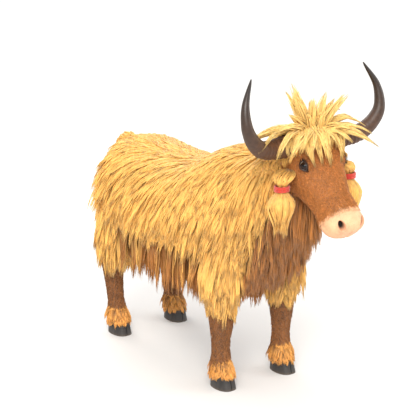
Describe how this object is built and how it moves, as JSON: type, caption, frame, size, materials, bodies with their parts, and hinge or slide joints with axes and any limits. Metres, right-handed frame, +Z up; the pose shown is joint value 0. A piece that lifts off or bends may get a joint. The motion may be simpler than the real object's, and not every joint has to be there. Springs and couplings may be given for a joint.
{
  "type": "yak",
  "caption": "Life-size still model of a standing domestic yak bull with a shaggy golden coat, brown skirt and face, upswept horns and two side locks tied with red bands.",
  "frame": {"origin": "on the ground under the middle of the animal, at the centre of its bounding box's underside", "axes": "+Z up, the animal faces -Y, +X is its left side"},
  "size_m": [0.9432, 2.2466, 1.8561],
  "materials": {
    "coat_gold": "long golden hair in tapered locks, satin sheen on the tips",
    "coat_brown": "brown hair, short on the face and legs and long under the belly",
    "coat_tan": "tan hair flaring over the hoofs",
    "muzzle_skin": "bare pink skin, finely grained and slightly moist",
    "horn": "dark brown keratin, ringed near the base and smooth at the tip",
    "hoof": "grey-black keratin, faintly ringed",
    "eye": "wet, very dark brown with a pale rim",
    "red_band": "red wool cord wound round a lock of hair"
  },
  "bodies": {
    "root": {"ear_left": "coat_gold", "ear_right": "coat_gold", "eye_left": "eye", "eye_right": "eye", "foreleg_left_cannon": "coat_brown", "foreleg_left_claw_inner": "hoof", "foreleg_left_claw_outer": "hoof", "foreleg_left_pastern": "coat_tan", "foreleg_left_upper": "coat_gold", "foreleg_right_cannon": "coat_brown", "foreleg_right_claw_inner": "hoof", "foreleg_right_claw_outer": "hoof", "foreleg_right_pastern": "coat_tan", "foreleg_right_upper": "coat_gold", "forelock": "coat_gold", "head": "coat_brown", "hindleg_left_cannon": "coat_brown", "hindleg_left_claw_inner": "hoof", "hindleg_left_claw_outer": "hoof", "hindleg_left_pastern": "coat_tan", "hindleg_left_upper": "coat_gold", "hindleg_right_cannon": "coat_brown", "hindleg_right_claw_inner": "hoof", "hindleg_right_claw_outer": "hoof", "hindleg_right_pastern": "coat_tan", "hindleg_right_upper": "coat_gold", "horn_left": "horn", "horn_right": "horn", "muzzle": "muzzle_skin", "neck": "coat_gold", "red_band_left": "red_band", "red_band_right": "red_band", "side_lock_left": "coat_gold", "side_lock_right": "coat_gold", "tail": "coat_gold", "throat": "coat_brown", "torso_back": "coat_gold", "torso_belly": "coat_brown"}
  },
  "joints": []
}
